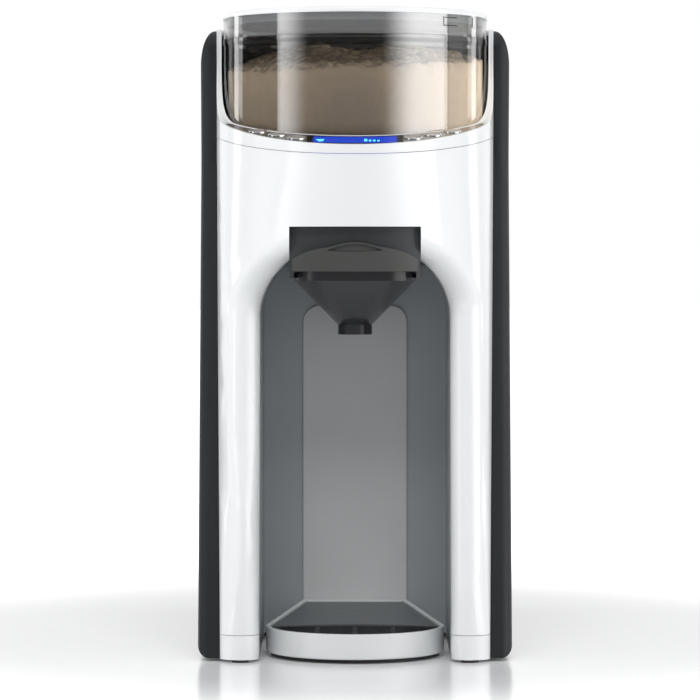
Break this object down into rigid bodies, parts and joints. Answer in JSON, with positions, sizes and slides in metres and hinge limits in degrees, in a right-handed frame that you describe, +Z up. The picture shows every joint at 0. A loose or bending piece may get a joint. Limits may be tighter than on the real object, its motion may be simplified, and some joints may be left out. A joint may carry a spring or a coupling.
{
  "type": "baby formula maker",
  "caption": "Countertop formula maker: white arched front, charcoal sides, smoked powder container with lid, crescent key panel, slide-out mixing funnel, drip tray and rear water tank.",
  "frame": {"origin": "on the counter, under the middle of the bounding box", "axes": "+X to the right seen from the front, +Y to the back with the water tank, +Z up; the bottle bay and the keys face -Y"},
  "size_m": [0.1682, 0.312, 0.3439],
  "materials": {
    "white_front": "gloss",
    "white_top": "gloss",
    "well_dark": "fine satin",
    "white_lid": "gloss",
    "white_tray": "gloss",
    "charcoal_side": "fine satin",
    "charcoal_rear": "fine satin",
    "base_black": "matt",
    "foot_rubber": "matt",
    "screw_steel": "satin",
    "liner_grey": "satin",
    "panel_grey": "satin",
    "dock_dark": "satin",
    "funnel_smoke": "clear smoke",
    "handle_grey": "satin",
    "cup_smoke": "clear smoke",
    "skirt_clear": "clear",
    "seal_silicone": "matt",
    "wheel_white": "satin",
    "stirrer_grey": "satin",
    "gear_white": "satin",
    "gear_brass": "satin",
    "coupler_grey": "matt",
    "bush_bronze": "satin",
    "motor_steel": "satin",
    "frame_plastic": "matt",
    "panel_silver": "silver gloss",
    "lens_black": "gloss",
    "display_blue": "lit",
    "board_green": "satin",
    "button_silver": "satin",
    "grille_black": "satin",
    "deck_grey": "satin",
    "tank_smoke": "clear smoke",
    "tank_lid_grey": "satin",
    "pin_steel": "satin",
    "float_white": "matt",
    "valve_grey": "satin",
    "spring_steel": "bright",
    "pump_black": "matt",
    "heater_steel": "satin",
    "tube_silicone": "clear satin",
    "switch_black": "satin",
    "inlet_black": "satin"
  },
  "bodies": {
    "case": {"base_plate": "base_black", "bay_back_panel": "panel_grey", "bay_liner": "liner_grey", "chassis": "frame_plastic", "container_well": "well_dark", "control_board": "board_green", "control_panel": "panel_silver", "dispenser_dock": "dock_dark", "display_lens": "lens_black", "display_module": "display_blue", "drive_motor": "motor_steel", "foot_caps": "white_front", "front_shell": "white_front", "inlet_spigot": "valve_grey", "main_board": "board_green", "pan_screws": "screw_steel", "powder_chute": "frame_plastic", "power_inlet": "inlet_black", "power_rocker_frame": "switch_black", "power_supply": "board_green", "rear_cover": "charcoal_rear", "rubber_feet": "foot_rubber", "shaft_bushings": "bush_bronze", "side_panel_left": "charcoal_side", "side_panel_right": "charcoal_side", "top_bezel": "white_top", "water_heater": "heater_steel", "water_nozzle": "valve_grey", "water_pump": "pump_black", "water_tubes": "tube_silicone"},
    "funnel": {"mixing_funnel": "funnel_smoke", "funnel_cover": "handle_grey"},
    "tray": {"drip_tray": "white_tray", "tray_deck": "deck_grey"},
    "grille": {"tray_grille": "grille_black"},
    "cup": {"powder_container": "cup_smoke", "scraper_cover": "wheel_white"},
    "lid": {"lid_skirt": "skirt_clear", "lid_top": "white_lid", "lid_seal": "seal_silicone"},
    "drive": {"drive_gear": "gear_white", "drive_coupler": "coupler_grey"},
    "dosing": {"powder_wheel": "wheel_white", "stirrer": "stirrer_grey"},
    "pinion": {"motor_pinion": "gear_brass"},
    "tank": {"water_tank": "tank_smoke", "tank_hinge_pins": "pin_steel", "valve_housing": "valve_grey", "valve_spring": "spring_steel"},
    "tank_flap": {"tank_lid": "tank_lid_grey"},
    "float": {"tank_float": "float_white"},
    "valve": {"valve_plunger": "valve_grey", "valve_seal": "seal_silicone"},
    "rocker": {"power_rocker": "switch_black"},
    "button_left_inner_body": {"button_left_inner": "button_silver"},
    "button_left_middle_body": {"button_left_middle": "button_silver"},
    "button_left_outer_body": {"button_left_outer": "button_silver"},
    "button_right_inner_body": {"button_right_inner": "button_silver"},
    "button_right_middle_body": {"button_right_middle": "button_silver"},
    "button_right_outer_body": {"button_right_outer": "button_silver"}
  },
  "joints": [
    {"name": "funnel_slide", "type": "slide", "parent": "case", "child": "funnel", "axis": [0, -1, 0], "range_m": [0, 0.1]},
    {"name": "tray_slide", "type": "slide", "parent": "case", "child": "tray", "axis": [0, -1, 0], "range_m": [0, 0.09]},
    {"name": "grille_lift", "type": "slide", "parent": "tray", "child": "grille", "axis": [0, 0, 1], "range_m": [0, 0.03]},
    {"name": "cup_lift", "type": "slide", "parent": "case", "child": "cup", "axis": [0, 0, 1], "range_m": [0, 0.09]},
    {"name": "lid_lift", "type": "slide", "parent": "cup", "child": "lid", "axis": [0, 0, 1], "range_m": [0, 0.06]},
    {"name": "drive_spin", "type": "hinge", "parent": "case", "child": "drive", "pos_m": [0, -0.055, 0.256], "axis": [0, 0, 1], "continuous": true},
    {"name": "dosing_spin", "type": "hinge", "parent": "cup", "child": "dosing", "pos_m": [0, -0.055, 0.274], "axis": [0, 0, 1], "continuous": true},
    {"name": "pinion_spin", "type": "hinge", "parent": "case", "child": "pinion", "pos_m": [0, -0.016, 0.256], "axis": [0, 0, 1], "continuous": true},
    {"name": "tank_lift", "type": "slide", "parent": "case", "child": "tank", "axis": [0, 0, 1], "range_m": [0, 0.12]},
    {"name": "tank_flap_hinge", "type": "hinge", "parent": "tank", "child": "tank_flap", "pos_m": [0, 0.09, 0.328], "axis": [1, 0, 0], "range_deg": [0, 100]},
    {"name": "float_rise", "type": "slide", "parent": "tank", "child": "float", "axis": [0, 0, 1], "range_m": [0, 0.015]},
    {"name": "valve_stroke", "type": "slide", "parent": "tank", "child": "valve", "axis": [0, 0, 1], "range_m": [0, 0.004], "stiffness_N_per_m": 120, "springref_m": -0.004, "deforming": ["valve_spring"]},
    {"name": "rocker_tilt", "type": "hinge", "parent": "case", "child": "rocker", "pos_m": [0.046, 0.1515, 0.04], "axis": [1, 0, 0], "range_deg": [-8, 8]},
    {"name": "button_left_inner_press", "type": "slide", "parent": "case", "child": "button_left_inner_body", "axis": [0, 0.1942, -0.981], "range_m": [0, 0.0012], "stiffness_N_per_m": 250, "springref_m": -0.0004},
    {"name": "button_left_middle_press", "type": "slide", "parent": "case", "child": "button_left_middle_body", "axis": [0, 0.1942, -0.981], "range_m": [0, 0.0012], "stiffness_N_per_m": 250, "springref_m": -0.0004},
    {"name": "button_left_outer_press", "type": "slide", "parent": "case", "child": "button_left_outer_body", "axis": [0, 0.1942, -0.981], "range_m": [0, 0.0012], "stiffness_N_per_m": 250, "springref_m": -0.0004},
    {"name": "button_right_inner_press", "type": "slide", "parent": "case", "child": "button_right_inner_body", "axis": [0, 0.1942, -0.981], "range_m": [0, 0.0012], "stiffness_N_per_m": 250, "springref_m": -0.0004},
    {"name": "button_right_middle_press", "type": "slide", "parent": "case", "child": "button_right_middle_body", "axis": [0, 0.1942, -0.981], "range_m": [0, 0.0012], "stiffness_N_per_m": 250, "springref_m": -0.0004},
    {"name": "button_right_outer_press", "type": "slide", "parent": "case", "child": "button_right_outer_body", "axis": [0, 0.1942, -0.981], "range_m": [0, 0.0012], "stiffness_N_per_m": 250, "springref_m": -0.0004}
  ],
  "couplings": [
    {"joint": "dosing_spin", "follows": "drive_spin", "ratio": 1},
    {"joint": "pinion_spin", "follows": "drive_spin", "ratio": -2}
  ]
}
